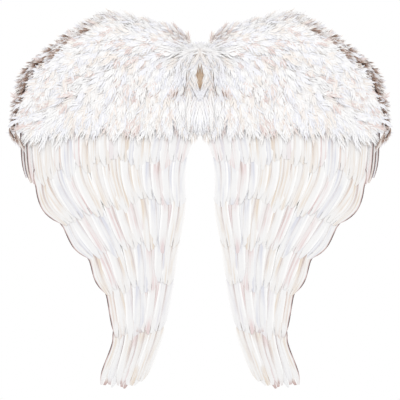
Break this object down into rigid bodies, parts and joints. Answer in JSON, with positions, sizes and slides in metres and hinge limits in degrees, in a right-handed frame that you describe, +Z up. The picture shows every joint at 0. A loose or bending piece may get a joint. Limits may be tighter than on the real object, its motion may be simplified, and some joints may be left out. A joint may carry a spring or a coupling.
{
  "type": "angel wings",
  "caption": "Pair of white feather costume wings with fluffy down tops and tiers of flat feathers, joined by a panel with arm loops.",
  "frame": {"origin": "middle of the joining panel's rear face, where the pair sits on the wearer's back", "axes": "+Z up, the feathers face -Y, the wearer's back lies at +Y, and the right wing as seen from the feathered side is at +X"},
  "size_m": [0.7642, 0.2178, 0.7513],
  "materials": {
    "vane": "flat white feather vanes, soft satin",
    "down": "fluffy white down, matte",
    "felt": "stiff off-white felt, matte",
    "panel": "tan felt over a stiff core, matte",
    "elastic": "ribbed woven elastic, matte"
  },
  "bodies": {
    "root": {"joining_panel": "panel", "right_backing": "felt", "right_crest_down": "down", "right_down_row_1": "down", "right_down_row_2": "down", "right_down_row_3": "down", "right_down_row_4": "down", "right_vane_row_1": "vane", "right_vane_row_2": "vane", "right_vane_row_3": "vane", "right_vane_row_4": "vane", "right_vane_row_5": "vane", "right_vane_row_6": "vane", "right_arm_loop": "elastic", "left_backing": "felt", "left_crest_down": "down", "left_down_row_1": "down", "left_down_row_2": "down", "left_down_row_3": "down", "left_down_row_4": "down", "left_vane_row_1": "vane", "left_vane_row_2": "vane", "left_vane_row_3": "vane", "left_vane_row_4": "vane", "left_vane_row_5": "vane", "left_vane_row_6": "vane", "left_arm_loop": "elastic"}
  },
  "joints": []
}
